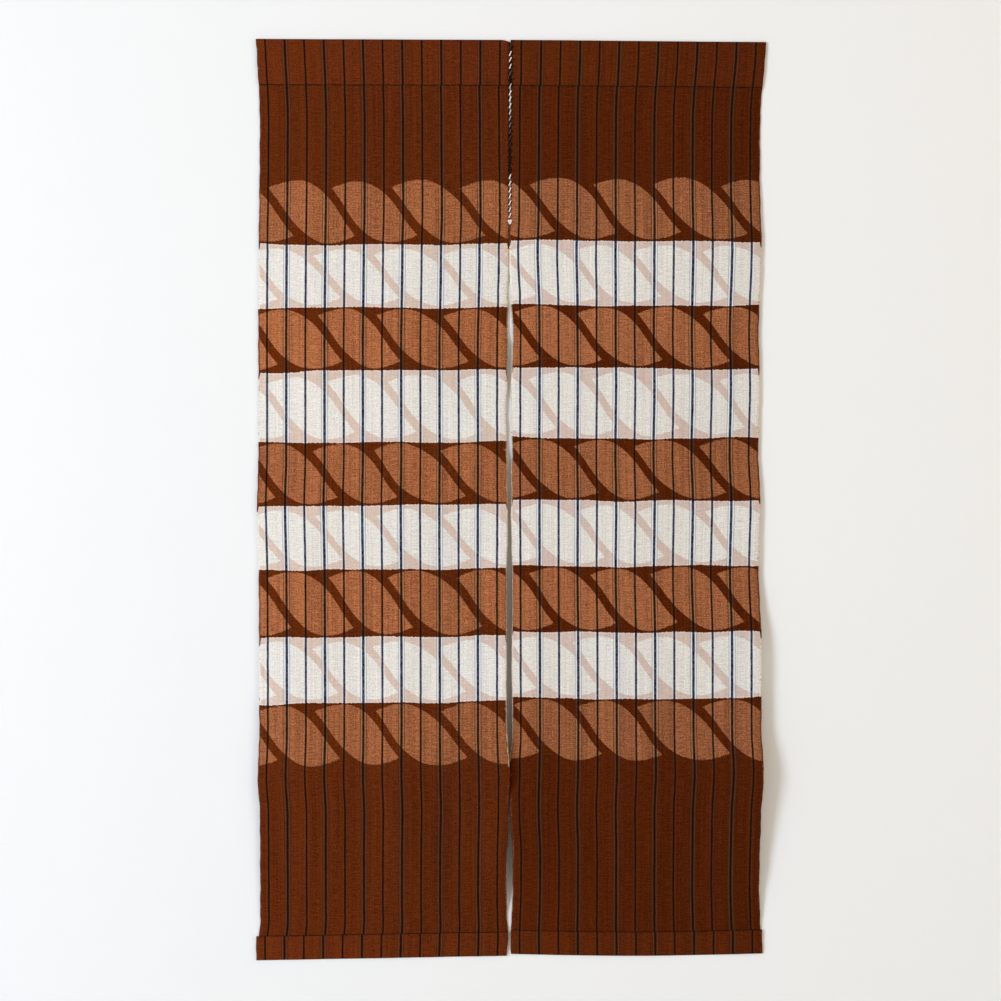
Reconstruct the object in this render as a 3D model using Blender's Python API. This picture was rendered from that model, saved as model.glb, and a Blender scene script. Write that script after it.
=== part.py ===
"""A noren curtain: two loom-width lengths of cotton, laced together at the top, hanging still.

Metres, +Z up. The origin is the middle of the top edge, x runs along that edge and the folded
heading and hem face -Y. A "drop" is a distance down the cloth from its top edge, a "share" runs
across a panel from its outer selvedge, 0, to its inner one, 1, and a "lift" is how far the cloth
stands out towards -Y from the plane that it hangs against.
"""
import math
from collections import namedtuple

import bmesh
import bpy
from mathutils import Matrix, Vector

# Driving sizes
LENGTH = 1.498
CLOTH = 0.0012
HEADING = 0.0742
HEM = 0.0386
SEAM = 0.0016
POCKET = 0.0105
POCKET_MOUTH = 0.2
POCKET_FULLNESS = 0.8
ORIGIN_LIFT = 0.0062
CLEARANCE = 0.0003

# Where the two outer selvedges run, measured from the middle of the curtain
Selvedge = namedtuple("Selvedge", "drop left right")
SELVEDGES = (
    Selvedge(0.000, 0.4155, 0.4155),
    Selvedge(0.035, 0.4133, 0.4133),
    Selvedge(0.076, 0.4110, 0.4092),
    Selvedge(0.130, 0.4090, 0.4058),
    Selvedge(0.230, 0.4096, 0.4052),
    Selvedge(0.335, 0.4108, 0.4078),
    Selvedge(0.480, 0.4115, 0.4030),
    Selvedge(0.560, 0.4113, 0.4048),
    Selvedge(0.680, 0.4113, 0.4024),
    Selvedge(0.754, 0.4134, 0.4056),
    Selvedge(0.870, 0.4108, 0.4028),
    Selvedge(0.980, 0.4100, 0.4062),
    Selvedge(1.130, 0.4094, 0.4060),
    Selvedge(1.199, 0.4118, 0.4088),
    Selvedge(1.265, 0.4084, 0.4052),
    Selvedge(1.380, 0.4082, 0.4032),
    Selvedge(1.453, 0.4090, 0.4062),
    Selvedge(1.468, 0.4142, 0.4080),
    Selvedge(1.498, 0.4147, 0.4098),
)

# The line midway between the two inner selvedges, and the gap that it halves
Middle = namedtuple("Middle", "drop line gap")
MIDDLE = (
    Middle(0.000, -0.0010, 0.0016),
    Middle(0.076, -0.0012, 0.0016),
    Middle(0.170, -0.0016, 0.0016),
    Middle(0.290, -0.0016, 0.0016),
    Middle(0.345, -0.0031, 0.0016),
    Middle(0.395, -0.0029, 0.0030),
    Middle(0.430, -0.0026, 0.0046),
    Middle(0.475, -0.0014, 0.0080),
    Middle(0.505, -0.0015, 0.0078),
    Middle(0.558, -0.0028, 0.0054),
    Middle(0.620, -0.0033, 0.0085),
    Middle(0.672, -0.0026, 0.0080),
    Middle(0.760, -0.0025, 0.0056),
    Middle(0.800, -0.0024, 0.0056),
    Middle(0.850, -0.0025, 0.0080),
    Middle(0.980, -0.0026, 0.0080),
    Middle(1.080, -0.0028, 0.0088),
    Middle(1.155, -0.0020, 0.0058),
    Middle(1.199, -0.0014, 0.0008),
    Middle(1.240, -0.0032, 0.0012),
    Middle(1.304, -0.0018, 0.0060),
    Middle(1.337, -0.0018, 0.0090),
    Middle(1.402, -0.0020, 0.0090),
    Middle(1.435, -0.0024, 0.0073),
    Middle(1.467, -0.0029, 0.0038),
    Middle(1.498, -0.0034, 0.0066),
)

# How the cloth stands out at each panel's two selvedges and along its middle
Lift = namedtuple("Lift", "drop left_outer left_mid left_inner right_inner right_mid right_outer")
LIFTS = (
    Lift(0.000, 0.0020, 0.0020, 0.0020, 0.0020, 0.0020, 0.0020),
    Lift(0.090, 0.0025, 0.0025, 0.0025, 0.0025, 0.0025, 0.0025),
    Lift(0.200, 0.0028, 0.0028, 0.0032, 0.0032, 0.0028, 0.0028),
    Lift(0.336, 0.0032, 0.0036, 0.0032, 0.0032, 0.0038, 0.0045),
    Lift(0.430, 0.0032, 0.0034, 0.0024, 0.0024, 0.0034, 0.0042),
    Lift(0.507, 0.0032, 0.0036, 0.0055, 0.0045, 0.0036, 0.0042),
    Lift(0.590, 0.0034, 0.0040, 0.0032, 0.0032, 0.0042, 0.0040),
    Lift(0.655, 0.0038, 0.0044, 0.0032, 0.0032, 0.0045, 0.0036),
    Lift(0.687, 0.0042, 0.0048, 0.0060, 0.0045, 0.0047, 0.0036),
    Lift(0.754, 0.0050, 0.0060, 0.0085, 0.0060, 0.0055, 0.0052),
    Lift(0.880, 0.0050, 0.0068, 0.0165, 0.0100, 0.0068, 0.0066),
    Lift(1.010, 0.0070, 0.0090, 0.0215, 0.0130, 0.0092, 0.0200),
    Lift(1.109, 0.0095, 0.0115, 0.0270, 0.0165, 0.0120, 0.0200),
    Lift(1.160, 0.0110, 0.0140, 0.0310, 0.0215, 0.0145, 0.0265),
    Lift(1.199, 0.0120, 0.0158, 0.0330, 0.0245, 0.0160, 0.0312),
    Lift(1.240, 0.0110, 0.0148, 0.0300, 0.0280, 0.0150, 0.0290),
    Lift(1.285, 0.0095, 0.0125, 0.0285, 0.0275, 0.0125, 0.0230),
    Lift(1.337, 0.0078, 0.0098, 0.0240, 0.0220, 0.0098, 0.0170),
    Lift(1.369, 0.0065, 0.0078, 0.0150, 0.0140, 0.0080, 0.0125),
    Lift(1.402, 0.0050, 0.0058, 0.0064, 0.0064, 0.0058, 0.0080),
    Lift(1.435, 0.0032, 0.0040, 0.0026, 0.0028, 0.0040, 0.0045),
    Lift(1.498, 0.0024, 0.0024, 0.0024, 0.0024, 0.0024, 0.0024),
)

# The panels: how far each end of the top and bottom edges lies from level, the bow of the
# bottom edge, and the soft upright waves that deepen towards the foot
Panel = namedtuple(
    "Panel", "side top_outer top_inner foot_outer foot_inner foot_bow waves crest wave_depth colour"
)
PANELS = {
    "left": Panel(-1, 0.0000, 0.0018, 1.5007, 1.4932, 0.0000, 2.7, 0.57, 0.0022, (0.112, 0.026, 0.007)),
    "right": Panel(1, 0.0058, 0.0018, 1.4893, 1.4901, 0.0035, 2.0, 0.48, 0.0030, (0.088, 0.018, 0.004)),
}
CURL = 0.28
WAVE_START = 0.10
WAVE_GROWTH = 0.6
HEM_CALM = (1.36, 1.47)
CALMED = 0.85
LACED_MARGIN = 0.12
LACE_RELEASE = (0.30, 0.55)

# The lacing: a thick thread that crosses the slit on the face and returns behind the cloth
LACE_TOP = 0.0120
LACE_PITCH = 0.0106
LACE_STITCHES = 27
LACE_REACH = 0.0026
LACE_RISE = 0.0030
LACE_THREAD = 0.0020
LACE_SIDES = 6
LACE_BACK = 0.0014
LACE_WEB = 0.0007
KNOT_DROP = 0.2975
KNOT_SIZE = (0.0034, 0.0024, 0.0046)
LACE_COLOUR = (0.72, 0.68, 0.62)

COLUMN_SHARES = (0, 0.02, 0.06, 0.12, 0.20, 0.30, 0.40, 0.50, 0.60, 0.70, 0.80, 0.88, 0.94, 0.98, 1)
ROWS = 60
HEM_STEPS = 3
POCKET_STEPS = 7
POCKET_FREE = 0.85
FOLD_STEPS = 4
FOLD_DROP = 2 * CLOTH
FOLD_RISE = 1.5 * CLOTH
FLAP_STEPS = 9
SHARP_ANGLE = 40


def along(rows, drop, column):
    """Value of a column at a drop, on a curve through the rows that doesn't overshoot them."""
    drops = [row.drop for row in rows]
    values = [getattr(row, column) for row in rows]
    slopes = [(values[i + 1] - values[i]) / (drops[i + 1] - drops[i]) for i in range(len(rows) - 1)]
    drop = min(max(drop, drops[0]), drops[-1])
    at = max(i for i in range(len(slopes)) if drops[i] <= drop)

    def tangent(row):
        if row in (0, len(slopes)):
            return slopes[min(row, len(slopes) - 1)]
        before, after = slopes[row - 1], slopes[row]
        return 2 * before * after / (before + after) if before * after > 0 else 0

    span = drops[at + 1] - drops[at]
    t = (drop - drops[at]) / span
    return (
        values[at] * (1 + 2 * t) * (1 - t) ** 2
        + values[at + 1] * t * t * (3 - 2 * t)
        + span * (tangent(at) * t * (1 - t) ** 2 - tangent(at + 1) * t * t * (1 - t))
    )


def ease(value, start, end):
    t = min(max((value - start) / (end - start), 0), 1)
    return t * t * (3 - 2 * t)


def pocket_depth(drop):
    """How far the flap's middle stands off the back wall of the rod pocket."""
    turn = math.pi * (POCKET_MOUTH + (1 - POCKET_MOUTH) * drop / HEADING)
    return POCKET * max(math.sin(turn), 0) ** POCKET_FULLNESS


def lift(side, share, drop):
    panel = PANELS[side]
    middle = along(LIFTS, drop, side + "_mid")
    outer = (along(LIFTS, drop, side + "_outer") - middle) * max(0, 1 - share / CURL) ** 2
    inner = (along(LIFTS, drop, side + "_inner") - middle) * max(0, 1 - (1 - share) / CURL) ** 2
    depth = panel.wave_depth * ease(drop, WAVE_START, LENGTH) ** WAVE_GROWTH
    depth = depth * (1 - CALMED * ease(drop, *HEM_CALM))
    free = 1 - ease(share, 1 - LACED_MARGIN, 1) * (1 - ease(drop, *LACE_RELEASE))
    wave = math.cos(2 * math.pi * panel.waves * (share - panel.crest))
    return middle + outer + inner + depth * free * wave


def place(side, share, drop, offset):
    """The point of a panel at a share and a drop, offset from the cloth's mid-surface."""
    panel = PANELS[side]
    outer = along(SELVEDGES, drop, side)
    inner = panel.side * along(MIDDLE, drop, "line") + along(MIDDLE, drop, "gap") / 2
    top = panel.top_outer + (panel.top_inner - panel.top_outer) * share
    bow = panel.foot_bow * math.sin(math.pi * share)
    foot = panel.foot_outer + (panel.foot_inner - panel.foot_outer) * share + bow
    return Vector((
        panel.side * (outer + (inner - outer) * share),
        ORIGIN_LIFT - lift(side, share, drop) - offset,
        -(top + (foot - top) * drop / LENGTH),
    ))


def main_line():
    """Drops of the single cloth from its foot up to the top fold, closer at the hem and the seam."""
    hem_top = LENGTH - HEM
    fixed = [LENGTH, hem_top, hem_top - SEAM, HEADING, HEADING - SEAM, FOLD_DROP]
    even = [HEADING + (hem_top - HEADING) * i / ROWS for i in range(1, ROWS)]
    in_hem = [hem_top + HEM * i / HEM_STEPS for i in range(1, HEM_STEPS)]
    in_pocket = [HEADING * i / POCKET_STEPS for i in range(1, POCKET_STEPS)]
    return sorted(fixed + even + in_hem + in_pocket, reverse=True)


def flap_line():
    """Mid-line of the cloth over the top fold and down the flap, as (offset, drop) pairs."""
    half = pocket_depth(FOLD_DROP) / 2
    turns = [math.pi * i / FOLD_STEPS for i in range(1, FOLD_STEPS)]
    fold = [(half - half * math.cos(a), FOLD_DROP - FOLD_RISE * math.sin(a)) for a in turns]
    drops = [FOLD_DROP + (HEADING - FOLD_DROP) * i / FLAP_STEPS for i in range(FLAP_STEPS)]
    return fold + [(max(pocket_depth(drop), CLOTH), drop) for drop in drops]


def section(mesh):
    """Faces of the cloth's upright section at share 0, in (share, offset, drop) coordinates."""
    half = CLOTH / 2
    rungs = []
    for drop in main_line():
        hem = CLOTH if drop > LENGTH - HEM - SEAM / 2 else 0
        rungs.append((mesh.verts.new((0, -half, drop)), mesh.verts.new((0, half + hem, drop)), drop))
    line = [(0, FOLD_DROP)] + flap_line() + [(CLOTH, HEADING)]
    for before, here, after in zip(line, line[1:], line[2:]):
        run = Vector((after[0] - before[0], after[1] - before[1])).normalized()
        back = mesh.verts.new((0, here[0] + run.y * -half, here[1] + run.x * half))
        front = mesh.verts.new((0, here[0] + run.y * half, here[1] - run.x * half))
        rungs.append((front, back, None))
    for low, high in zip(rungs, rungs[1:]):
        mesh.faces.new((low[0], low[1], high[1], high[0]))
    seam_low = next(rung[1] for rung in rungs if rung[2] == HEADING)
    seam_high = next(rung[1] for rung in rungs if rung[2] == HEADING - SEAM)
    flap_end = mesh.verts.new((0, half + CLOTH, HEADING))
    front, back, _ = rungs[-1]
    mesh.faces.new((back, front, flap_end, seam_high))
    mesh.faces.new((seam_high, flap_end, seam_low))


def cloth_material(name, colour, roughness):
    material = bpy.data.materials.new(name)
    material.use_nodes = True
    shader = material.node_tree.nodes["Principled BSDF"]
    shader.inputs["Base Color"].default_value = (*colour, 1)
    shader.inputs["Roughness"].default_value = roughness
    shader.inputs["Metallic"].default_value = 0
    material.diffuse_color = (*colour, 1)
    return material


def add_object(name, mesh, material):
    data = bpy.data.meshes.new(name)
    mesh.to_mesh(data)
    mesh.free()
    data.materials.append(material)
    data.shade_smooth()
    data.set_sharp_from_angle(angle=math.radians(SHARP_ANGLE))
    piece = bpy.data.objects.new(name, data)
    bpy.context.scene.collection.objects.link(piece)
    return piece


def turn_outwards(mesh):
    bmesh.ops.recalc_face_normals(mesh, faces=mesh.faces)
    if mesh.calc_volume(signed=True) < 0:
        bmesh.ops.reverse_faces(mesh, faces=mesh.faces)


def make_panel(side):
    """One length of cloth, its upright section extruded across and then hung in its folds."""
    mesh = bmesh.new()
    section(mesh)
    cap = mesh.faces[:]
    for before, after in zip(COLUMN_SHARES, COLUMN_SHARES[1:]):
        grown = bmesh.ops.extrude_face_region(mesh, geom=cap)["geom"]
        moved = [item for item in grown if isinstance(item, bmesh.types.BMVert)]
        bmesh.ops.translate(mesh, verts=moved, vec=(after - before, 0, 0))
        if before > 0:
            bmesh.ops.delete(mesh, geom=cap, context="FACES_ONLY")
        cap = [item for item in grown if isinstance(item, bmesh.types.BMFace)]
    for vertex in mesh.verts:
        share, offset, drop = vertex.co
        vertex.co = place(side, share, drop, offset)
    turn_outwards(mesh)
    material = cloth_material("dyed cotton " + side, PANELS[side].colour, 0.92)
    return add_object("panel_" + side, mesh, material)


def lace_point(x, drop, offset):
    """A point near the middle line, x from it and offset from the single cloth's mid-surface."""
    point = place("left", 1, drop, offset)
    point.x = along(MIDDLE, drop, "line") + x
    return point


def face_offset(drop):
    """Offset of the front layer's mid-surface: the flap's in the heading, else the cloth's own."""
    return max(pocket_depth(drop), CLOTH) if drop < HEADING else 0


def add_bar(mesh, start, end, diameter):
    run = end - start
    bmesh.ops.create_cone(
        mesh, cap_ends=True, segments=LACE_SIDES, radius1=diameter / 2, radius2=diameter / 2, depth=run.length,
        matrix=Matrix.Translation((start + end) / 2) @ run.to_track_quat("Z", "Y").to_matrix().to_4x4(),
    )


def front_offset(drop):
    """Offset of the stitches on the face, clear of the cloth over a whole stitch."""
    reach = [face_offset(drop + step * LACE_RISE) for step in (-1, 0, 1)]
    return max(reach) + CLOTH / 2 + CLEARANCE + LACE_THREAD / 2


def back_offset(drop):
    """Offset of the returns: behind the flap high in the pocket, and else behind all the cloth."""
    reach = LACE_RISE + LACE_PITCH / 2
    in_pocket = drop + reach < POCKET_FREE * HEADING
    layer = min(face_offset(drop - reach), face_offset(drop + reach)) if in_pocket else 0
    return layer - CLOTH / 2 - CLEARANCE - LACE_BACK / 2


def lace_stitches():
    """Slanted stitches on the face, and their returns, which slant less steeply behind it."""
    mesh = bmesh.new()
    for stitch in range(LACE_STITCHES):
        drop = LACE_TOP + LACE_PITCH * stitch
        offset = front_offset(drop)
        low = lace_point(-LACE_REACH, drop + LACE_RISE, offset)
        high = lace_point(LACE_REACH, drop - LACE_RISE, offset)
        add_bar(mesh, low, high, LACE_THREAD)
        if stitch < LACE_STITCHES - 1:
            offset = back_offset(drop + LACE_PITCH / 2)
            high = lace_point(LACE_REACH, drop - LACE_RISE, offset)
            low = lace_point(-LACE_REACH, drop + LACE_PITCH + LACE_RISE, offset)
            add_bar(mesh, low, high, LACE_BACK)
    face = CLOTH / 2 + CLEARANCE + KNOT_SIZE[1]
    knot = Matrix.LocRotScale(lace_point(0, KNOT_DROP, face), None, Vector(KNOT_SIZE))
    bmesh.ops.create_icosphere(mesh, subdivisions=1, radius=1, matrix=knot)
    return mesh


def lace_web():
    """The thread where it passes between the two selvedges, as one narrow web down the slit."""
    steps = 2 * LACE_STITCHES
    mesh = bmesh.new()
    rungs = []
    for step in range(steps + 1):
        drop = LACE_TOP + (KNOT_DROP - LACE_TOP) * step / steps
        offsets = back_offset(drop), front_offset(drop)
        rungs.append([mesh.verts.new(lace_point(-LACE_WEB / 2, drop, offset)) for offset in offsets])
    sheet = [
        mesh.faces.new((low[0], low[1], high[1], high[0])) for low, high in zip(rungs, rungs[1:])
    ]
    grown = bmesh.ops.extrude_face_region(mesh, geom=sheet)["geom"]
    moved = [item for item in grown if isinstance(item, bmesh.types.BMVert)]
    bmesh.ops.translate(mesh, verts=moved, vec=(LACE_WEB, 0, 0))
    turn_outwards(mesh)
    return mesh


def make_lacing():
    """One thread: the web between the selvedges with the stitches and the knot fused to it."""
    thread = cloth_material("lacing thread", LACE_COLOUR, 0.85)
    stitches = add_object("lace_stitches", lace_stitches(), thread)
    stitches.hide_render = True
    stitches.display_type = "WIRE"
    lacing = add_object("lacing", lace_web(), thread)
    fuse = lacing.modifiers.new("fuse", "BOOLEAN")
    fuse.operation = "UNION"
    fuse.solver = "EXACT"
    fuse.use_self = True
    fuse.object = stitches
    return lacing


for old in list(bpy.data.objects):
    bpy.data.objects.remove(old)
for panel_side in PANELS:
    make_panel(panel_side)
make_lacing()
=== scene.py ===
import math
from collections import namedtuple

import bmesh
import bpy
import numpy as np
from mathutils import Matrix, Vector
from mathutils.kdtree import KDTree


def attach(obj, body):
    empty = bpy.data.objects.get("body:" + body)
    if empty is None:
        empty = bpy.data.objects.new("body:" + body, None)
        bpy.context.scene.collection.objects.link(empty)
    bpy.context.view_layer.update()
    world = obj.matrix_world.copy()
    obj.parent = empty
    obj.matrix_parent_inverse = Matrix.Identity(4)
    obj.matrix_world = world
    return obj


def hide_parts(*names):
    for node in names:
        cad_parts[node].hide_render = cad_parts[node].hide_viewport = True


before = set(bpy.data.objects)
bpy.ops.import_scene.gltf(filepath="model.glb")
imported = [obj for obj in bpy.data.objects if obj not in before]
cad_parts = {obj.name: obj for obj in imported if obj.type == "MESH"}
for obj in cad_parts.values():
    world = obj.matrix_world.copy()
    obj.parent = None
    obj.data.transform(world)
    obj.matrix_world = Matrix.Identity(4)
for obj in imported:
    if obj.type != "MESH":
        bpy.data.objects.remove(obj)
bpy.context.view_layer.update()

# The camera stands straight in front of the cloth with a long lens, as it was photographed.
# The photograph's frame is square, and the curtain fills most of its height.
PHOTO_PIXELS = 1001
TOP_EDGE_ROW = 38.3
FOOT_ROW = 959.8
SLIT_COLUMN = 511.0
CURTAIN_DROP = 1.4995
CAMERA_DISTANCE = 4.6
SENSOR = 36.0
pixel = CURTAIN_DROP / (FOOT_ROW - TOP_EDGE_ROW)
camera_data = bpy.data.cameras.new("camera")
camera_data.sensor_width = SENSOR
camera_data.lens = SENSOR * CAMERA_DISTANCE / (PHOTO_PIXELS * pixel)
camera = bpy.data.objects.new("camera", camera_data)
camera.location = (
    (PHOTO_PIXELS / 2 - SLIT_COLUMN) * pixel, -CAMERA_DISTANCE, (TOP_EDGE_ROW - PHOTO_PIXELS / 2) * pixel
)
camera.rotation_euler = (math.radians(90), 0, 0)
bpy.context.scene.collection.objects.link(camera)
bpy.context.scene.camera = camera

# Cloth panels: one length of plain-weave cotton each, 0.8 mm thick, striped in the warp and
# dyed. The heading is folded over to the viewer and sewn down as a rod pocket, the foot is
# folded up and sewn as a hem, and both raw edges are turned in under their flaps. A drop is a
# distance down the cloth, and a lift is how far it stands out from the plane it hangs against.
LENGTH = 1.498
HEADING = 0.0742
HEM = 0.0386
POCKET = 0.0052
POCKET_MOUTH = 0.06
POCKET_FULLNESS = 0.8
ORIGIN_LIFT = 0.0062
Selvedge = namedtuple("Selvedge", "drop left right")
SELVEDGES = (
    Selvedge(0.000, 0.4155, 0.4155),
    Selvedge(0.035, 0.4133, 0.4133),
    Selvedge(0.076, 0.4110, 0.4092),
    Selvedge(0.130, 0.4090, 0.4058),
    Selvedge(0.230, 0.4096, 0.4052),
    Selvedge(0.335, 0.4108, 0.4078),
    Selvedge(0.480, 0.4115, 0.4030),
    Selvedge(0.560, 0.4113, 0.4048),
    Selvedge(0.680, 0.4113, 0.4024),
    Selvedge(0.754, 0.4134, 0.4056),
    Selvedge(0.870, 0.4108, 0.4028),
    Selvedge(0.980, 0.4100, 0.4062),
    Selvedge(1.130, 0.4094, 0.4060),
    Selvedge(1.199, 0.4118, 0.4088),
    Selvedge(1.265, 0.4084, 0.4052),
    Selvedge(1.380, 0.4082, 0.4032),
    Selvedge(1.430, 0.4082, 0.4050),
    Selvedge(1.461, 0.4110, 0.4066),
    Selvedge(1.498, 0.4145, 0.4098),
)
Parting = namedtuple("Parting", "drop line gap")
MIDDLE = (
    Parting(0.000, -0.0004, 0.0030), Parting(0.170, -0.0016, 0.0034), Parting(0.285, -0.0016, 0.0014),
    Parting(0.345, -0.0034, 0.0014), Parting(0.430, -0.0024, 0.0060), Parting(0.500, -0.0030, 0.0085),
    Parting(0.754, -0.0030, 0.0075), Parting(0.850, -0.0030, 0.0085), Parting(1.130, -0.0026, 0.0085),
    Parting(1.199, -0.0026, 0.0050), Parting(1.250, -0.0030, 0.0036), Parting(1.337, -0.0022, 0.0088),
    Parting(1.400, -0.0026, 0.0090), Parting(1.468, -0.0030, 0.0050), Parting(1.498, -0.0033, 0.0066),
)
SLIT = (
    Parting(0.000, -0.0010, 0.0010), Parting(0.007, -0.0010, 0.0004), Parting(0.030, -0.0011, 0.0008),
    Parting(0.076, -0.0012, 0.0016), Parting(0.170, -0.0016, 0.0022),
    Parting(0.230, -0.0016, 0.0016), Parting(0.290, -0.0016, 0.0008), Parting(0.330, -0.0031, 0.0006),
    Parting(0.376, -0.0032, 0.0010), Parting(0.395, -0.0029, 0.0036), Parting(0.413, -0.0024, 0.0058),
    Parting(0.434, -0.0027, 0.0042), Parting(0.455, -0.0016, 0.0066), Parting(0.475, -0.0012, 0.0080),
    Parting(0.505, -0.0015, 0.0078), Parting(0.545, -0.0024, 0.0058), Parting(0.558, -0.0028, 0.0050),
    Parting(0.583, -0.0031, 0.0068), Parting(0.620, -0.0034, 0.0085), Parting(0.645, -0.0029, 0.0075),
    Parting(0.672, -0.0024, 0.0081), Parting(0.703, -0.0029, 0.0065), Parting(0.745, -0.0024, 0.0058),
    Parting(0.780, -0.0026, 0.0050), Parting(0.815, -0.0023, 0.0059), Parting(0.850, -0.0025, 0.0080),
    Parting(0.915, -0.0024, 0.0088), Parting(0.980, -0.0026, 0.0078), Parting(1.010, -0.0032, 0.0080),
    Parting(1.080, -0.0028, 0.0088), Parting(1.110, -0.0024, 0.0083), Parting(1.155, -0.0020, 0.0058),
    Parting(1.175, -0.0028, 0.0002), Parting(1.199, -0.0012, 0.0004), Parting(1.215, -0.0020, 0.0014),
    Parting(1.240, -0.0030, 0.0024), Parting(1.272, -0.0030, 0.0036), Parting(1.304, -0.0016, 0.0062),
    Parting(1.337, -0.0018, 0.0092), Parting(1.402, -0.0020, 0.0090), Parting(1.4345, -0.0024, 0.0073),
    Parting(1.467, -0.0029, 0.0038), Parting(1.483, -0.0033, 0.0052), Parting(1.498, -0.0034, 0.0066),
)
EDGE_REACH = 0.022
Lift = namedtuple("Lift", "drop left_outer left_mid left_inner right_inner right_mid right_outer")
LIFTS = (
    Lift(0.000, 0.0014, 0.0014, 0.0014, 0.0014, 0.0014, 0.0014),
    Lift(0.090, 0.0016, 0.0016, 0.0016, 0.0016, 0.0016, 0.0016),
    Lift(0.200, 0.0020, 0.0026, 0.0030, 0.0030, 0.0026, 0.0022),
    Lift(0.336, 0.0030, 0.0036, 0.0030, 0.0030, 0.0038, 0.0045),
    Lift(0.430, 0.0030, 0.0034, 0.0019, 0.0021, 0.0034, 0.0042),
    Lift(0.475, 0.0030, 0.0034, 0.0028, 0.0028, 0.0034, 0.0042),
    Lift(0.507, 0.0030, 0.0036, 0.0055, 0.0045, 0.0036, 0.0042),
    Lift(0.548, 0.0032, 0.0038, 0.0050, 0.0042, 0.0040, 0.0042),
    Lift(0.5885, 0.0034, 0.0040, 0.0028, 0.0030, 0.0042, 0.0040),
    Lift(0.655, 0.0038, 0.0044, 0.0028, 0.0030, 0.0045, 0.0035),
    Lift(0.687, 0.0042, 0.0048, 0.0060, 0.0045, 0.0047, 0.0036),
    Lift(0.754, 0.0050, 0.0060, 0.0085, 0.0060, 0.0055, 0.0052),
    Lift(0.790, 0.0050, 0.0062, 0.0110, 0.0075, 0.0060, 0.0058),
    Lift(0.880, 0.0050, 0.0068, 0.0165, 0.0100, 0.0068, 0.0066),
    Lift(1.010, 0.0070, 0.0090, 0.0215, 0.0130, 0.0092, 0.0200),
    Lift(1.109, 0.0095, 0.0115, 0.0270, 0.0165, 0.0120, 0.0200),
    Lift(1.160, 0.0110, 0.0140, 0.0310, 0.0185, 0.0145, 0.0265),
    Lift(1.199, 0.0120, 0.0158, 0.0330, 0.0190, 0.0160, 0.0312),
    Lift(1.240, 0.0110, 0.0148, 0.0300, 0.0262, 0.0150, 0.0290),
    Lift(1.285, 0.0095, 0.0125, 0.0285, 0.0275, 0.0125, 0.0230),
    Lift(1.337, 0.0078, 0.0098, 0.0240, 0.0220, 0.0098, 0.0170),
    Lift(1.369, 0.0065, 0.0078, 0.0150, 0.0140, 0.0080, 0.0125),
    Lift(1.402, 0.0050, 0.0058, 0.0054, 0.0050, 0.0058, 0.0080),
    Lift(1.430, 0.0030, 0.0040, 0.0010, 0.0018, 0.0040, 0.0045),
    Lift(1.460, 0.0018, 0.0024, 0.0015, 0.0017, 0.0024, 0.0022),
    Lift(1.498, 0.0015, 0.0016, 0.0015, 0.0015, 0.0016, 0.0016),
)
Panel = namedtuple(
    "Panel",
    "side top_outer top_inner foot_outer foot_inner foot_bow waves crest wave_depth"
    " hem_outer flap_slip seam_slip corner_drop dye_rise seed",
)
PANELS = {
    "left": Panel(
        -1, 0.0003, 0.0020, 1.5007, 1.4932, 0.0000, 2.7, 0.57, 0.0022,
        hem_outer=0.4148, flap_slip=0.0, seam_slip=0.0018, corner_drop=0.0044, dye_rise=0.0, seed=3.0,
    ),
    "right": Panel(
        1, 0.0056, 0.0018, 1.4893, 1.4901, 0.0035, 2.0, 0.48, 0.0030,
        hem_outer=0.4088, flap_slip=0.0017, seam_slip=0.0, corner_drop=0.0, dye_rise=0.005, seed=8.0,
    ),
}
CURL = 0.28
WAVE_START = 0.10
WAVE_GROWTH = 0.6
HEM_CALM = (1.36, 1.47)
CALMED = 0.85
LACED_MARGIN = 0.12
LACE_RELEASE = (0.30, 0.55)


def along(rows, drop, column):
    """Values of a column at drops, on a curve through the rows that doesn't overshoot them."""
    drops = np.array([row.drop for row in rows])
    values = np.array([getattr(row, column) for row in rows])
    slopes = np.diff(values) / np.diff(drops)
    before, after = slopes[:-1], slopes[1:]
    turning = before * after <= 0
    total = np.where(turning, 1, before + after)
    tangents = np.concatenate([slopes[:1], np.where(turning, 0, 2 * before * after / total), slopes[-1:]])
    drop = np.clip(drop, drops[0], drops[-1])
    at = np.clip(np.searchsorted(drops, drop, side="right") - 1, 0, len(slopes) - 1)
    span = drops[at + 1] - drops[at]
    t = (drop - drops[at]) / span
    return (
        values[at] * (1 + 2 * t) * (1 - t) ** 2
        + values[at + 1] * t * t * (3 - 2 * t)
        + span * (tangents[at] * t * (1 - t) ** 2 - tangents[at + 1] * t * t * (1 - t))
    )


def ease(value, start, end):
    t = np.clip((value - start) / (end - start), 0, 1)
    return t * t * (3 - 2 * t)


def pocket_depth(drop):
    """How far the flap's middle stands off the back wall of the rod pocket."""
    turn = np.pi * (POCKET_MOUTH + (1 - POCKET_MOUTH) * drop / HEADING)
    return POCKET * np.maximum(np.sin(turn), 0) ** POCKET_FULLNESS


def lift(side, share, drop):
    panel = PANELS[side]
    middle = along(LIFTS, drop, side + "_mid")
    outer = (along(LIFTS, drop, side + "_outer") - middle) * np.maximum(0, 1 - share / CURL) ** 2
    inner = (along(LIFTS, drop, side + "_inner") - middle) * np.maximum(0, 1 - (1 - share) / CURL) ** 2
    depth = panel.wave_depth * ease(drop, WAVE_START, LENGTH) ** WAVE_GROWTH
    depth = depth * (1 - CALMED * ease(drop, *HEM_CALM))
    free = 1 - ease(share, 1 - LACED_MARGIN, 1) * (1 - ease(drop, *LACE_RELEASE))
    wave = np.cos(2 * np.pi * panel.waves * (share - panel.crest))
    return middle + outer + inner + depth * free * wave


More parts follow.
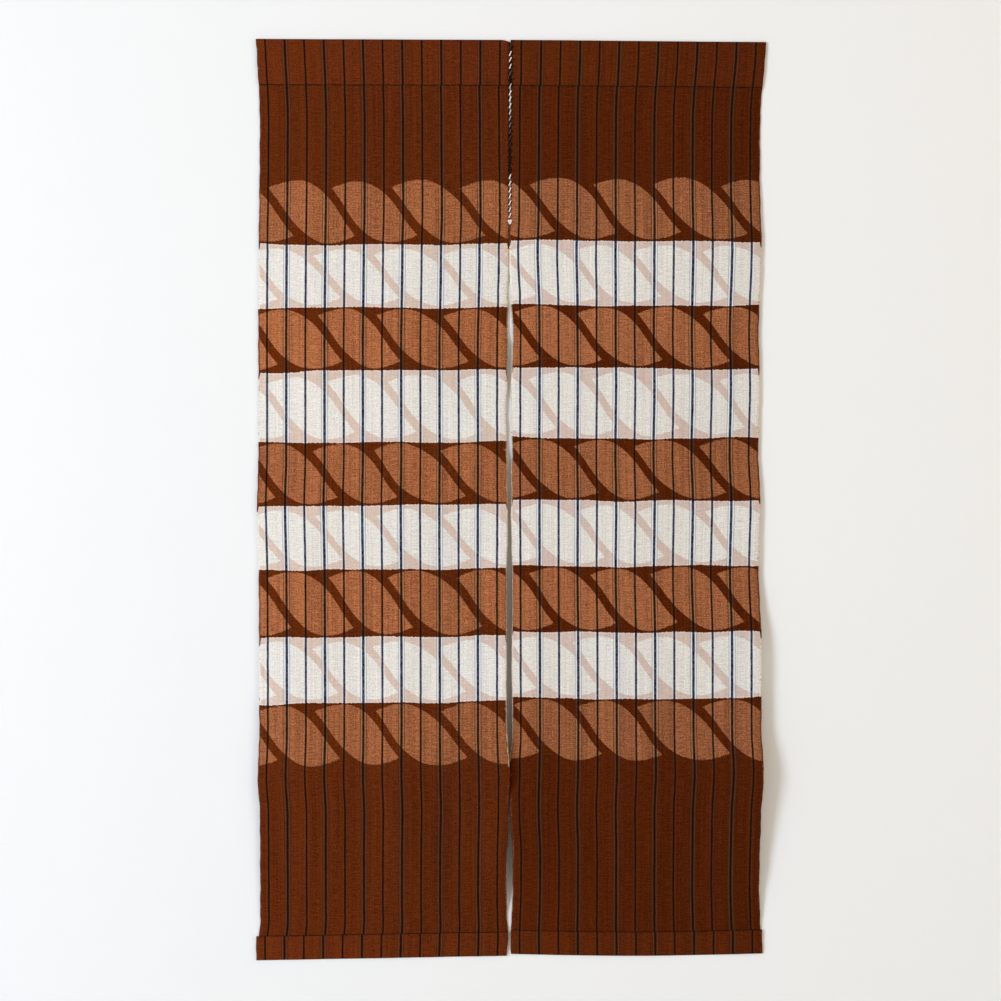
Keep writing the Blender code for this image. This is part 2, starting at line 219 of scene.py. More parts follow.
def place(side, share, drop, offset, outer=None):
    """Points of a panel, as rows of x, y and z. An offset is from the cloth's mid-surface."""
    panel = PANELS[side]
    outer = along(SELVEDGES, drop, side) if outer is None else outer
    inner, edge = (
        panel.side * along(rows, drop, "line") + along(rows, drop, "gap") / 2 for rows in (MIDDLE, SLIT)
    )
    local = (edge - inner) * np.exp((share - 1) / EDGE_REACH)
    top = panel.top_outer + (panel.top_inner - panel.top_outer) * share
    bow = panel.foot_bow * np.sin(np.pi * share)
    foot = panel.foot_outer + (panel.foot_inner - panel.foot_outer) * share + bow
    return np.stack([
        panel.side * (outer + (inner - outer) * share + local),
        ORIGIN_LIFT - lift(side, share, drop) - offset,
        -(top + (foot - top) * drop / LENGTH),
    ], axis=-1)


CLOTH = 0.0008
LAYER = 0.0009
TURN_IN = 0.008
FOLD_RADIUS = LAYER / 2
WOVEN_WIDTH = 0.4075
COLUMNS = 98
ROW_STEP = 0.0041
FOLD_STEPS = 4
FOLD_DROP = 0.003
FOLD_RISE = 0.0026
TURNED_STEP = 0.002
HEM_STEP = 0.0025
HEM_BACK_STEP = 0.003
POCKET_STEP = 0.0028
POCKET_BACK_STEP = 0.0035
SETTLE_ABOVE = 0.002
SETTLE_BELOW = 0.006
CREASES = ((0.336, 0.0007), (0.754, 0.0010), (1.199, 0.0016))
CREASE_REACH = 0.009
CREASE_SWAY = 0.004
PUCKER = 0.00030
PUCKER_PITCH = 0.0094
PUCKER_REACH = 0.011
LACE_PULL = 0.00030
LACE_PULL_REACH = 0.006
LACE_PULL_FADE = 0.02
BILLOWS = ((23, 0.00035), (41, 0.00025), (77, 0.00012))
WOBBLE_REACH = 0.03
LACE_TOP = 0.0120
LACE_PITCH = 0.0106
LACE_END = 0.2880


def run_rows(start, end, step=ROW_STEP):
    """Even steps from start up to but not including end."""
    count = max(int(round(abs(end - start) / step)), 1)
    return [start + (end - start) * i / count for i in range(count)]


def fold_rows(offset_from, offset_to, drop, outward):
    """A half-round fold between two layers, as (offset, drop) pairs."""
    middle, radius = (offset_from + offset_to) / 2, (offset_to - offset_from) / 2
    turns = [math.pi * i / FOLD_STEPS for i in range(FOLD_STEPS + 1)]
    return [(middle - radius * math.cos(a), drop + outward * abs(radius) * math.sin(a)) for a in turns]


def cloth_rows():
    """The cloth's upright section from the hem's raw edge to the heading's, row by row.

    Each row has its offset from the main cloth, its drop, its distance along the cloth, and the
    flap that it lies on: -1 for the heading's, 1 for the hem's and 0 for the rest."""
    hem_edge, foot = LENGTH - HEM, LENGTH - FOLD_RADIUS
    flap, under = 2 * LAYER, LAYER
    rows = [(under, drop, 1) for drop in run_rows(hem_edge + TURN_IN, hem_edge + FOLD_RADIUS, TURNED_STEP)]
    rows += [(o, d, 1) for o, d in fold_rows(under, flap, hem_edge + FOLD_RADIUS, -1)[:-1]]
    for drop in run_rows(hem_edge + FOLD_RADIUS, foot, HEM_STEP):
        turned = hem_edge + TURN_IN
        settle = float(ease(drop, turned - SETTLE_ABOVE, turned + SETTLE_BELOW))
        rows.append((flap + (under - flap) * settle, drop, 1))
    rows += [(o, d, 1 if o > 0 else 0) for o, d in fold_rows(under, 0, foot, 1)[:-1]]
    rows += [(0, drop, 0) for drop in run_rows(foot, hem_edge, HEM_BACK_STEP)]
    rows += [(0, drop, 0) for drop in run_rows(hem_edge, HEADING)]
    rows += [(0, drop, 0) for drop in run_rows(HEADING, FOLD_DROP, POCKET_BACK_STEP)]
    mouth = float(pocket_depth(FOLD_DROP))
    for offset, drop in fold_rows(0, mouth, FOLD_DROP, -1)[:-1]:
        risen = FOLD_DROP + (drop - FOLD_DROP) * FOLD_RISE / (mouth / 2)
        rows.append((offset, risen, -1 if offset > 0 else 0))
    heading_edge = HEADING - FOLD_RADIUS
    for drop in run_rows(FOLD_DROP, heading_edge, POCKET_STEP):
        rows.append((max(float(pocket_depth(drop)), flap), drop, -1))
    rows += [(o, d, -1) for o, d in fold_rows(flap, under, heading_edge, 1)]
    rows += [(under, drop, -1) for drop in run_rows(heading_edge, HEADING - TURN_IN, TURNED_STEP)[1:]]
    return rows


def woven_lengths(rows):
    """Distance of each row down the woven cloth from its top fold; the heading flap's is negative."""
    points = np.array([(offset, drop) for offset, drop, _ in rows])
    steps = np.linalg.norm(np.diff(points, axis=0), axis=1)
    travelled = np.concatenate([[0], np.cumsum(steps)])
    crown = int(np.argmin(points[:, 1]))
    return travelled[crown] - travelled


CLOTH_ROWS = cloth_rows()
WOVEN_LENGTHS = woven_lengths(CLOTH_ROWS)


def seam_places(rows, lengths):
    """Woven distances of the heading's and the hem's folded edges, and of the cloth beside them."""
    offsets, drops, flaps = (np.array(column) for column in zip(*rows))
    heading_fold = lengths[np.argmax(np.where(flaps < 0, drops, -1))]
    hem_fold = lengths[np.argmin(np.where(flaps > 0, drops, LENGTH + 1))]
    main = np.argsort(np.where(flaps == 0, drops, LENGTH + 1))[:int(np.sum(flaps == 0))]
    beside = np.interp((HEADING, LENGTH - HEM), drops[main], lengths[main])
    return [float(place) for place in (heading_fold, hem_fold, *beside)]


def hand_relief(side, share, drop, across):
    """Small unevenness of the hanging cloth: packing creases, sewn puckers and pulls of the lacing."""
    seed = PANELS[side].seed
    relief = sum(
        height * np.exp(-np.abs(drop - crease + CREASE_SWAY * np.sin(5 * share + seed)) / CREASE_REACH)
        for crease, height in CREASES
    )
    for seam in (HEADING, LENGTH - HEM):
        near = np.exp(-np.abs(drop - seam) / PUCKER_REACH)
        phase = 2 * np.pi * across / PUCKER_PITCH + 2.1 * np.sin(across * 61 + seed)
        relief = relief + PUCKER * near * np.sin(phase)
    laced = 1 - ease(drop, LACE_END, LACE_END + LACE_PULL_FADE)
    laced = np.exp(-(1 - share) * WOVEN_WIDTH / LACE_PULL_REACH) * laced
    relief = relief - LACE_PULL * laced * np.cos(2 * np.pi * (drop - LACE_TOP) / LACE_PITCH)
    for scale, height in BILLOWS:
        relief = relief + height * np.sin(scale * across + seed * scale) * np.sin(
            0.7 * scale * drop + 1.3 * seed + 1.7 * np.sin(0.21 * scale * across)
        )
    return relief * ease(share, -0.01, 0.01)


def selvedge_wobble(side, share, drop):
    """The selvedges weave in and out by a fraction of a millimetre."""
    seed = PANELS[side].seed
    wobble = 0.00030 * np.sin(97 * drop + seed) + 0.00022 * np.sin(231 * drop + 2 * seed)
    near_edge = np.exp(-share / WOBBLE_REACH) - np.exp(-(1 - share) / WOBBLE_REACH) * ease(drop, 0.33, 0.40)
    return wobble * near_edge


DYE_EDGES = (0.228, 0.334, 0.438, 0.541, 0.656, 0.759, 0.865, 0.974, 1.081, 1.186)
STRAND_PITCH = 0.104
DYE_RUN_ON = ((-0.2, -4), (1.7, 13))
SPACING_SHIFT = 0.0075
SPACING_PLACE = 0.226
SPACING_REACH = 0.065
SLIP_REACH = 0.05
CORNER_REACH = 0.014
POCKET_END = 0.10


def make_cloth(side):
    """The panel as a grid, bent into its section and hung, with the maps that its dye follows."""
    panel = PANELS[side]
    rows, lengths = CLOTH_ROWS, WOVEN_LENGTHS
    mesh = bmesh.new()
    bmesh.ops.create_grid(mesh, x_segments=COLUMNS, y_segments=len(rows) - 1, size=0.5)
    data = bpy.data.meshes.new("cloth_" + side)
    mesh.to_mesh(data)
    mesh.free()
    grid = np.empty(len(data.vertices) * 3)
    data.vertices.foreach_get("co", grid)
    grid = grid.reshape(-1, 3)
    share = grid[:, 0] + 0.5 if panel.side < 0 else 0.5 - grid[:, 0]
    row = np.rint((grid[:, 1] + 0.5) * (len(rows) - 1)).astype(int)
    offset, drop, flap = (np.array(column)[row] for column in zip(*rows))
    woven = lengths[row]
    open_pocket = np.where(flap < 0, 0.15 + 0.85 * ease(share, 0, POCKET_END), 1)
    offset = np.minimum(offset, 2 * LAYER) + np.maximum(offset - 2 * LAYER, 0) * open_pocket
    across = WOVEN_WIDTH * (share if panel.side < 0 else 1 - share)
    outer = along(SELVEDGES, drop, side)
    outer = np.where(flap > 0, panel.hem_outer, outer)
    points = place(side, share, drop, offset, outer)
    points[:, 1] -= hand_relief(side, share, drop, across)
    points[:, 0] += panel.side * selvedge_wobble(side, share, drop)
    corner = np.maximum(0, 1 - (1 - share) * WOVEN_WIDTH / CORNER_REACH) ** 2
    points[:, 2] -= panel.corner_drop * corner * np.exp(-drop / CORNER_REACH)
    data.vertices.foreach_set("co", points.ravel())
    turned = np.clip(1 - woven / HEADING, 0, 1)
    eased = (1 - turned) * np.exp(-np.maximum(woven - HEADING, 0) / SLIP_REACH)
    across = across + share * (panel.seam_slip * eased - panel.flap_slip * turned)
    edges = list(enumerate(np.array(DYE_EDGES) - panel.dye_rise))
    (above, before), (below, after) = DYE_RUN_ON
    bands, rise = zip((before, above), *edges, (after, below))
    band = np.interp(woven, rise, bands)
    spacing = SPACING_SHIFT * np.exp(-(((across - SPACING_PLACE) / SPACING_REACH) ** 2))
    corners = np.empty(len(data.loops), dtype=np.int32)
    data.loops.foreach_get("vertex_index", corners)
    for name, first, second in (("cloth", across, woven), ("dye", (across + spacing) / STRAND_PITCH, band)):
        layer = data.uv_layers.new(name=name)
        layer.uv.foreach_set("vector", np.stack([first, second], axis=1)[corners].astype(np.float32).ravel())
    middle_face = data.polygons[len(data.polygons) // 2]
    if middle_face.normal.y > 0:
        data.flip_normals()
    data.shade_smooth()
    cloth = bpy.data.objects.new("cloth_" + side, data)
    bpy.context.scene.collection.objects.link(cloth)
    solid = cloth.modifiers.new("thickness", "SOLIDIFY")
    solid.thickness = CLOTH
    solid.offset = 0
    solid.material_offset = 1
    solid.material_offset_rim = 0
    return cloth


def wire(tree, kind, inputs=(), **settings):
    """Adds a node to a tree, with settings, and values or sockets for its inputs."""
    node = tree.nodes.new(kind)
    for name, value in settings.items():
        setattr(node, name, value)
    for name, value in dict(inputs).items():
        if isinstance(value, bpy.types.NodeSocket):
            tree.links.new(value, node.inputs[name])
        else:
            node.inputs[name].default_value = value
    return node


def calc(tree, operation, *values):
    return wire(tree, "ShaderNodeMath", enumerate(values), operation=operation).outputs[0]


def plus(tree, first, second):
    return calc(tree, "ADD", first, second)


def minus(tree, first, second):
    return calc(tree, "SUBTRACT", first, second)


def times(tree, first, second):
    return calc(tree, "MULTIPLY", first, second)


def between(tree, share, first, second):
    inputs = {"Factor": share, "A": first, "B": second}
    return wire(tree, "ShaderNodeMix", inputs).outputs["Result"]


def scaled(tree, colour, amount):
    inputs = {0: colour, "Scale": amount}
    return wire(tree, "ShaderNodeVectorMath", inputs, operation="SCALE").outputs[0]


def bump_normal(tree, height, strength, distance):
    inputs = {"Height": height, "Strength": strength, "Distance": distance}
    return wire(tree, "ShaderNodeBump", inputs).outputs["Normal"]


def step_up(tree, value, start, end):
    """0 at start, 1 at end, smooth between them. Start may be the larger one."""
    inputs = {"Value": value, "From Min": start, "From Max": end}
    return wire(tree, "ShaderNodeMapRange", inputs, interpolation_type="SMOOTHSTEP").outputs["Result"]


def blend(tree, share, first, second, mode="MIX"):
    inputs = {"Factor": share, "A": first, "B": second}
    node = tree.nodes.new("ShaderNodeMix")
    node.data_type = "RGBA"
    node.blend_type = mode
    for name, value in inputs.items():
        socket = next(s for s in node.inputs if s.name == name and s.enabled)
        if isinstance(value, bpy.types.NodeSocket):
            tree.links.new(value, socket)
        else:
            socket.default_value = value
    return next(s for s in node.outputs if s.enabled)


def cloth_noise(tree, vector, scale_x, scale_y, detail=2.0, roughness=0.5):
    """Noise about 0, stretched over the cloth: scales are in cells a metre."""
    scales = {0: vector, 1: (scale_x, scale_y, 1)}
    stretched = wire(tree, "ShaderNodeVectorMath", scales, operation="MULTIPLY").outputs[0]
    noise = wire(
        tree, "ShaderNodeTexNoise",
        {"Vector": stretched, "Scale": 1.0, "Detail": detail, "Roughness": roughness},
        noise_dimensions="3D",
    )
    return minus(tree, noise.outputs["Fac"], 0.5)


# Strand outline: the upper edge of a dyed rope strand, from its tip at the upper left to its
# tip at the lower right. The lower edge is the same curve turned half round.
STRAND_EDGE = (
    (0.0, 0.115), (0.107, 0.055), (0.249, 0.008), (0.356, 0.006), (0.441, 0.035), (0.533, 0.10),
    (0.612, 0.185), (0.711, 0.325), (0.802, 0.50), (0.889, 0.685), (1.0, 0.885),
)
BROWN_STRAND = (1.406, 0.018, 0.972)
PALE_STRAND = (1.436, 0.062, 0.955)
Band = namedtuple("Band", "left_start right_start tone")
BANDS = (
    Band(0.139, 0.306, 0.95), Band(0.866, 0.992, 1.0), Band(0.921, 0.046, 1.08),
    Band(0.107, 0.272, 1.0), Band(0.874, 0.997, 1.0), Band(0.912, 0.061, 1.0),
    Band(0.117, 0.266, 1.07), Band(0.835, 0.966, 1.0), Band(0.887, 0.025, 0.91),
)
STRIPE_START = 0.0143
STRIPE_PITCH = 0.03145
STRIPE_HALF = 0.00145
WIDE_EXTRA = 0.00035
STRAND_EXTRA = 0.00012
PALE_EXTRA = 0.00018
HAIRLINE_NEAR = (0.0042, 0.0046)
HAIRLINE_FAR = (0.0058, 0.0054)
FLANK_END = (0.0046, 0.0038)
EDGE_CORD = (0.0032, 0.0012)
BARE_YARNS = (0.0021, 0.0011)
HOLE_PLACE = 0.0024
HOLE_WIDTH = (0.0014, 0.0005)
HOLE_HEIGHT = (0.22, 0.10)
SEAM_LINE = (0.0013, 0.0004)
WARP_YARN = 0.00058
WEFT_YARN = 0.00062


def strand_curve(tree, share):
    """Upper edge of a strand at a share of its length, from 0 at its highest to 1 at its lowest."""
    node = wire(tree, "ShaderNodeFloatCurve", {"Value": share})
    curve = node.mapping.curves[0]
    curve.points[0].location = STRAND_EDGE[0]
    curve.points[-1].location = STRAND_EDGE[-1]
    for spot in STRAND_EDGE[1:-1]:
        curve.points.new(*spot)
    node.mapping.update()
    return node.outputs["Value"]


def band_values(tree, number):
    """Where the strands of a band start in the left and the right panel, and the band's tone."""
    ramp_place = calc(tree, "DIVIDE", plus(tree, number, 0.5), float(len(BANDS)))
    ramp = wire(tree, "ShaderNodeValToRGB", {"Fac": ramp_place})
    ramp.color_ramp.interpolation = "CONSTANT"
    marks = ramp.color_ramp.elements
    marks.remove(marks[1])
    for index, band in enumerate(BANDS):
        mark = marks[0] if index == 0 else marks.new(index / len(BANDS))
        mark.color = (*band, 1)
    return wire(tree, "ShaderNodeSeparateColor", {0: ramp.outputs["Color"]}).outputs


def strand_depth(tree, reach, height, length, low, high):
    """How deep a point lies inside a strand, in band heights; negative outside it."""
    share = calc(tree, "DIVIDE", reach, length)
    rest = minus(tree, 1.0, share)
    span = minus(tree, high, low)
    upper = plus(tree, low, times(tree, span, strand_curve(tree, share)))
    lower = minus(tree, high, times(tree, span, strand_curve(tree, rest)))
    inside = calc(tree, "MINIMUM", minus(tree, height, upper), minus(tree, lower, height))
    within = times(tree, calc(tree, "GREATER_THAN", rest, 0.0), 2.0)
    return calc(tree, "MINIMUM", inside, minus(tree, within, 1.0))


def dyed_cloth_group():
    """Colour and relief of the striped cloth: plain brown ends, and bands of brown and pale rope."""
    tree = bpy.data.node_groups.new("striped dyed cotton", "ShaderNodeTree")
    sockets = tree.interface
    for name, kind in (
        ("Cloth Place", "NodeSocketVector"), ("Dye Place", "NodeSocketVector"), ("Seed", "NodeSocketFloat"),
        ("Ground", "NodeSocketColor"), ("Strand", "NodeSocketColor"), ("Pale", "NodeSocketColor"),
        ("Pale Gap", "NodeSocketColor"), ("Unevenness", "NodeSocketFloat"), ("Fading", "NodeSocketFloat"),
        ("Right Hand", "NodeSocketFloat"),
    ):
        sockets.new_socket(name, in_out="INPUT", socket_type=kind)
    sockets.new_socket("Color", in_out="OUTPUT", socket_type="NodeSocketColor")
    sockets.new_socket("Height", in_out="OUTPUT", socket_type="NodeSocketFloat")
    sockets.new_socket("Roughness", in_out="OUTPUT", socket_type="NodeSocketFloat")
    given = tree.nodes.new("NodeGroupInput").outputs
    seed_shift = wire(tree, "ShaderNodeCombineXYZ", {"Z": given["Seed"]}).outputs[0]
    shifted = {0: given["Cloth Place"], 1: seed_shift}
    spot = wire(tree, "ShaderNodeVectorMath", shifted, operation="ADD").outputs[0]
    split = wire(tree, "ShaderNodeSeparateXYZ", {0: given["Cloth Place"]}).outputs
    across, down = split[0], split[1]
    dye = wire(tree, "ShaderNodeSeparateXYZ", {0: given["Dye Place"]}).outputs

    # Distance from the nearer selvedge, where the dye crept along the edge cords
    from_right = minus(tree, WOVEN_WIDTH, across)
    from_edge = calc(tree, "MINIMUM", across, from_right)
    from_inner = between(tree, given["Right Hand"], from_right, across)
    edge_cord = step_up(tree, from_edge, *EDGE_CORD)

    # Bands and strands, with the dyer's unsteady hand
    creep = times(tree, cloth_noise(tree, spot, 320, 320, 1.0), 0.030)
    sway = times(tree, cloth_noise(tree, spot, 9, 5, 1.0), 0.11)
    band = plus(tree, dye[1], plus(tree, creep, sway))
    begun = calc(tree, "GREATER_THAN", band, 0.0)
    in_bands = times(tree, begun, calc(tree, "LESS_THAN", band, float(len(BANDS))))
    band = calc(tree, "MINIMUM", calc(tree, "MAXIMUM", band, 0.0), len(BANDS) - 0.001)
    number = calc(tree, "FLOOR", band)
    height = calc(tree, "FRACT", band)
    odd = calc(tree, "MODULO", number, 2.0)
    stain = plus(tree, 0.09, times(tree, cloth_noise(tree, spot, 40, 9, 1.0), 0.40))
    bleed = times(tree, edge_cord, calc(tree, "MAXIMUM", stain, 0.03))
    pale = times(tree, odd, calc(tree, "GREATER_THAN", height, bleed))
    band_seed = plus(tree, times(tree, number, 1.37), given["Seed"])
    strand_place = wire(tree, "ShaderNodeCombineXYZ", {"X": dye[0], "Y": band_seed}).outputs[0]
    unsteady = times(tree, cloth_noise(tree, strand_place, 0.9, 3.0, 0.0), 0.09)
    left_start, right_start, band_tone = band_values(tree, number)
    start = between(tree, given["Right Hand"], left_start, right_start)
    reach = plus(tree, minus(tree, dye[0], start), plus(tree, unsteady, creep))
    first = calc(tree, "FRACT", reach)
    second = plus(tree, first, 1.0)
    outline = [
        plus(tree, brown_size, times(tree, odd, pale_size - brown_size))
        for brown_size, pale_size in zip(BROWN_STRAND, PALE_STRAND)
    ]
    depth = calc(
        tree, "MAXIMUM",
        strand_depth(tree, first, height, *outline), strand_depth(tree, second, height, *outline),
    )
    strand = times(tree, step_up(tree, depth, -0.004, 0.008), in_bands)

    # Tone: streaks of the warp, uneven weft, slubs, yarn grain, mottling and broad patches, and painted
    # light that makes each panel lighter on its left side
    streaks = cloth_noise(tree, spot, 340, 5, 2.0)
    wide_streaks = cloth_noise(tree, spot, 95, 1.4, 2.0)
    weft_picks = cloth_noise(tree, spot, 60, 640, 1.0)
    slubs = calc(tree, "MAXIMUM", minus(tree, cloth_noise(tree, spot, 22, 1100, 1.0), 0.12), 0.0)
    grain = cloth_noise(tree, spot, 430, 520, 1.0)
    mottle = cloth_noise(tree, spot, 200, 200, 3.0, 0.7)
    patches = cloth_noise(tree, spot, 9, 4, 1.0)
    warp_tone = times(tree, streaks, 0.80)
    for part, weight in ((wide_streaks, 0.42), (patches, 0.22)):
        warp_tone = plus(tree, warp_tone, times(tree, part, weight))
    weft_tone = times(tree, grain, 1.9)
    for part, weight in ((weft_picks, 1.25), (slubs, 1.5), (mottle, 0.60)):
        weft_tone = plus(tree, weft_tone, times(tree, part, weight))
    calm_warp = minus(tree, 1.0, times(tree, pale, 0.60))
    calm_weft = minus(tree, 1.0, times(tree, pale, 0.71))
    tone = plus(tree, times(tree, warp_tone, calm_warp), times(tree, weft_tone, calm_weft))
    lively = plus(tree, 1.06, times(tree, strand, 0.18))
    uneven = times(tree, given["Unevenness"], lively)
    tone = times(tree, tone, uneven)
    # Painted light: each panel is painted lighter towards its left side and darker towards its right, as
    # shading from the lamp at the left, less so on the pale bands.
    from_middle = minus(tree, 0.5, calc(tree, "DIVIDE", across, WOVEN_WIDTH))
    calm_painted_light = minus(tree, 1.0, times(tree, pale, 0.50))
    painted_light = times(tree, times(tree, from_middle, given["Fading"]), calm_painted_light)
    tone = plus(tree, plus(tree, 1.0, painted_light), tone)
    tone = calc(tree, "MAXIMUM", tone, 0.55)

    # Colours of the bands, dark where a brown band ends and cream where a pale one does
    from_line = calc(tree, "MINIMUM", height, minus(tree, 1.0, height))
    rim = step_up(tree, from_line, 0.030, 0.012)
    in_dye = times(tree, step_up(tree, dye[1], 0.5, 0.6), step_up(tree, dye[1], 8.5, 8.4))
    toned_strand = scaled(tree, given["Strand"], band_tone)
    brown = blend(tree, strand, given["Ground"], toned_strand)
    rim = times(tree, times(tree, rim, in_dye), 0.3)
    brown = blend(tree, rim, brown, (0.075, 0.012, 0.003, 1))
    light = blend(tree, strand, given["Pale Gap"], given["Pale"])
    cream_line = times(tree, step_up(tree, from_line, 0.022, 0.008), 0.25)
    light = blend(tree, cream_line, light, (0.93, 0.88, 0.80, 1))
    colour = blend(tree, pale, brown, light)

    # Selvedge cords: darker and redder in the brown, cream with flecks of dye in the pale bands
    flecks = step_up(tree, cloth_noise(tree, spot, 420, 200, 1.0), 0.10, 0.16)
    stained = times(tree, flecks, step_up(tree, from_line, 0.46, 0.10))
    cord_brown = blend(tree, flecks, (0.115, 0.022, 0.006, 1), (0.30, 0.10, 0.04, 1))
    cord_pale = blend(tree, stained, (0.90, 0.78, 0.64, 1), (0.22, 0.06, 0.02, 1))
    cord_share = times(tree, edge_cord, 0.8)
    colour = blend(tree, cord_share, colour, blend(tree, pale, cord_brown, cord_pale))

    # The outermost yarns of the inner selvedges stayed bare below the lacing
    bare = times(tree, step_up(tree, from_inner, *BARE_YARNS), step_up(tree, down, 0.40, 0.43))
    bare = times(tree, bare, step_up(tree, down, 1.45, 1.43))
    lower_left = times(tree, step_up(tree, down, 1.31, 1.36), minus(tree, 1.0, given["Right Hand"]))
    in_reach = calc(tree, "MAXIMUM", in_bands, times(tree, lower_left, 0.6))
    patchy = plus(tree, 0.75, times(tree, cloth_noise(tree, spot, 300, 90, 1.0), 1.3))
    bare = times(tree, times(tree, bare, in_reach), patchy)
    bare = times(tree, bare, minus(tree, 1.0, times(tree, pale, 0.5)))
    colour = blend(tree, bare, colour, (0.54, 0.39, 0.27, 1))

    # Painted shade: needle holes of the lacing painted dark, the inner selvedges painted nearly black along
    # the laced slit, and dark lines at the sewn, folded edges of the heading and the hem and on the cloth
    # beside them, partly the sewing and partly painted shade under the flap edges
    turned = calc(tree, "ABSOLUTE", down)
    pitches = calc(tree, "DIVIDE", minus(tree, turned, LACE_TOP - LACE_PITCH / 2), LACE_PITCH)
    off_stitch = calc(tree, "ABSOLUTE", minus(tree, calc(tree, "FRACT", pitches), 0.5))
    off_hole = calc(tree, "ABSOLUTE", minus(tree, from_inner, HOLE_PLACE))
    lacing_shade = times(tree, step_up(tree, off_stitch, *HOLE_HEIGHT), step_up(tree, off_hole, *HOLE_WIDTH))
    lacing_shade = times(tree, lacing_shade, plus(tree, 0.35, times(tree, given["Right Hand"], 0.65)))
    # Painted shade: the innermost yarns of the inner selvedges are painted nearly black where the laced slit
    # between them is dark.
    slit_shade = times(tree, step_up(tree, from_inner, *BARE_YARNS), patchy)
    lacing_shade = calc(tree, "MAXIMUM", lacing_shade, times(tree, slit_shade, 1.1))
    lacing_shade = times(tree, lacing_shade, calc(tree, "LESS_THAN", turned, LACE_END))
    # Dark lines at the folded edges: partly the sewing, partly painted shade under the flaps.
    from_seam = 1.0
    for place_of_seam in seam_places(CLOTH_ROWS, WOVEN_LENGTHS):
        off_seam = calc(tree, "ABSOLUTE", minus(tree, down, place_of_seam))
        from_seam = calc(tree, "MINIMUM", from_seam, off_seam)
    broken = plus(tree, 0.80, times(tree, cloth_noise(tree, spot, 140, 30, 1.0), 1.2))
    seam = times(tree, step_up(tree, from_seam, *SEAM_LINE), broken)
    # All of these are painted near black.
    colour = blend(tree, calc(tree, "MAXIMUM", seam, lacing_shade), colour, (0.014, 0.005, 0.003, 1))
    toned = scaled(tree, colour, tone)

    # Warp stripes, narrow and wide by turns, the wide ones with a hairline on either side
    order = calc(tree, "DIVIDE", minus(tree, across, STRIPE_START), STRIPE_PITCH)
    nearest = calc(tree, "ROUND", order)
    waver = times(tree, cloth_noise(tree, spot, 900, 60, 1.0), 0.0009)
    off = times(tree, calc(tree, "ABSOLUTE", minus(tree, order, nearest)), STRIPE_PITCH)
    off = plus(tree, off, waver)
    wide = calc(tree, "MODULO", calc(tree, "ABSOLUTE", nearest), 2.0)
    half = plus(tree, STRIPE_HALF, times(tree, wide, WIDE_EXTRA))
    half = plus(tree, half, times(tree, calc(tree, "MAXIMUM", pale, strand), STRAND_EXTRA))
    half = plus(tree, half, times(tree, pale, PALE_EXTRA))
    core = step_up(tree, minus(tree, off, half), 0.00030, -0.00025)
    hairline = times(tree, step_up(tree, off, *HAIRLINE_NEAR), step_up(tree, off, *HAIRLINE_FAR))
    hairline = times(tree, wide, hairline)
    flank = plus(tree, 0.40, times(tree, wide, 0.60))
    flank = times(tree, flank, plus(tree, 0.30, times(tree, pale, 0.45)))
    undyed = times(tree, step_up(tree, off, *FLANK_END), flank)
    undyed_brown = blend(tree, strand, (0.120, 0.050, 0.026, 1), (0.34, 0.19, 0.12, 1))
    undyed_colour = blend(tree, pale, undyed_brown, (0.74, 0.78, 0.86, 1))
    hairline_colour = blend(tree, pale, (0.030, 0.017, 0.012, 1), (0.28, 0.31, 0.40, 1))
    navy = blend(tree, wide, (0.007, 0.009, 0.040, 1), (0.003, 0.004, 0.020, 1))
    core_colour = blend(tree, pale, (0.0085, 0.0045, 0.0006, 1), navy)
    striped = blend(tree, undyed, toned, undyed_colour)
    striped = blend(tree, times(tree, hairline, 0.72), striped, hairline_colour)
    thready = plus(tree, 0.95, times(tree, mottle, 0.5))
    striped = blend(tree, times(tree, core, thready), striped, core_colour)

    # Relief of the plain weave, with thick and thin yarns
    warp = calc(tree, "SINE", times(tree, across, math.pi / WARP_YARN))
    weft = calc(tree, "SINE", times(tree, down, math.pi / WEFT_YARN))
    weave = times(tree, times(tree, warp, weft), 0.5)
    relief = plus(tree, weave, times(tree, slubs, 2.4))
    relief = plus(tree, relief, times(tree, streaks, 1.1))
    relief = plus(tree, relief, times(tree, mottle, 0.8))
    roughness = minus(tree, 0.90, times(tree, core, 0.08))
    wire(tree, "NodeGroupOutput", {"Color": striped, "Height": relief, "Roughness": roughness})
    return tree


dyed_cloth = dyed_cloth_group()
# The last value of each dye is the slope of the painted light across its panel.
Dye = namedtuple("Dye", "ground strand pale gap unevenness fading")
DYES = {
    ("left", "reverse"): Dye(
        (0.1075, 0.0196, 0.0027), (0.347, 0.1155, 0.0442), (0.782, 0.743, 0.685),
        (0.675, 0.526, 0.439), 1.0, 0.20,
    ),
    ("left", "face"): Dye(
        (0.1245, 0.0229, 0.0039), (0.360, 0.112, 0.038), (0.81, 0.77, 0.72),
        (0.70, 0.52, 0.42), 0.9, 0.20,
    ),
    ("right", "reverse"): Dye(
        (0.0800, 0.0133, 0.0013), (0.307, 0.106, 0.0425), (0.742, 0.706, 0.652),
        (0.624, 0.487, 0.424), 1.0, 0.18,
    ),
    ("right", "face"): Dye(
        (0.0955, 0.0172, 0.0022), (0.325, 0.106, 0.038), (0.76, 0.72, 0.68),
        (0.66, 0.49, 0.41), 0.9, 0.18,
    ),
}


